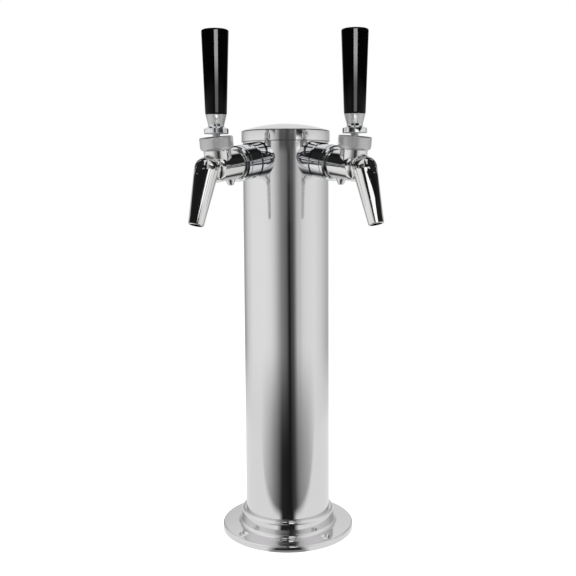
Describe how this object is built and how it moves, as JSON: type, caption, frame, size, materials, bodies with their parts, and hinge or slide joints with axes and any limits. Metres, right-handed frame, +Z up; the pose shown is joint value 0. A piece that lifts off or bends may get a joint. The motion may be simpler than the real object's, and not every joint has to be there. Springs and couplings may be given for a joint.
{
  "type": "beer tower dispenser",
  "caption": "Round polished column on a bolt-down flange, with forward-leaning beer faucets whose tilting lever handles open a sliding valve rod.",
  "frame": {"origin": "middle of the flange's underside, on the column's axis", "axes": "+Z up along the column; -Y to the front, where the faucets stand; +X to the right in a view from the front"},
  "size_m": [0.154, 0.1582, 0.4369],
  "materials": {
    "polished_stainless": "polished",
    "mirror_stainless": "mirror polished",
    "satin_stainless": "satin",
    "bright_chrome": "mirror plated",
    "plated_brass": "chrome plated",
    "black_rubber": "matte",
    "white_acetal": "matte",
    "black_handle": "gloss"
  },
  "bodies": {
    "tower": {"base_flange": "polished_stainless", "base_gasket": "black_rubber", "column": "polished_stainless", "cap_seal": "black_rubber", "left_shank": "plated_brass", "left_shank_collar": "bright_chrome", "left_backing_washer": "satin_stainless", "left_shank_nut": "plated_brass", "left_tail_elbow": "satin_stainless", "left_coupling_nut": "bright_chrome", "left_coupling_gasket": "black_rubber", "left_faucet_body": "mirror_stainless", "left_bonnet": "satin_stainless", "left_ball_seat": "white_acetal", "left_friction_ring": "white_acetal", "right_shank": "plated_brass", "right_shank_collar": "bright_chrome", "right_backing_washer": "satin_stainless", "right_shank_nut": "plated_brass", "right_tail_elbow": "satin_stainless", "right_coupling_nut": "bright_chrome", "right_coupling_gasket": "black_rubber", "right_faucet_body": "mirror_stainless", "right_bonnet": "satin_stainless", "right_ball_seat": "white_acetal", "right_friction_ring": "white_acetal"},
    "cap": {"cap": "polished_stainless"},
    "left_lever": {"left_lever": "satin_stainless", "left_jam_collar": "bright_chrome", "left_ferrule": "satin_stainless", "left_handle_insert": "plated_brass", "left_tap_handle": "black_handle"},
    "left_shuttle": {"left_shuttle": "white_acetal", "left_front_seal": "black_rubber"},
    "right_lever": {"right_lever": "satin_stainless", "right_jam_collar": "bright_chrome", "right_ferrule": "satin_stainless", "right_handle_insert": "plated_brass", "right_tap_handle": "black_handle"},
    "right_shuttle": {"right_shuttle": "white_acetal", "right_front_seal": "black_rubber"}
  },
  "joints": [
    {"name": "cap_lift", "type": "slide", "parent": "tower", "child": "cap", "axis": [0, 0, 1], "range_m": [0, 0.03]},
    {"name": "left_lever_tilt", "type": "hinge", "parent": "tower", "child": "left_lever", "pos_m": [-0.05545, -0.07226, 0.34797], "axis": [0.7934, -0.6088, 0], "range_deg": [0, 27]},
    {"name": "left_shuttle_slide", "type": "slide", "parent": "tower", "child": "left_shuttle", "axis": [0.6036, 0.7866, 0.1305], "range_m": [0, 0.0072]},
    {"name": "right_lever_tilt", "type": "hinge", "parent": "tower", "child": "right_lever", "pos_m": [0.05545, -0.07226, 0.34797], "axis": [0.7934, 0.6088, 0], "range_deg": [0, 27]},
    {"name": "right_shuttle_slide", "type": "slide", "parent": "tower", "child": "right_shuttle", "axis": [-0.6036, 0.7866, 0.1305], "range_m": [0, 0.0072]}
  ],
  "couplings": [
    {"joint": "left_shuttle_slide", "follows": "left_lever_tilt", "m_per_rad": 0.015273},
    {"joint": "right_shuttle_slide", "follows": "right_lever_tilt", "m_per_rad": 0.015273}
  ]
}
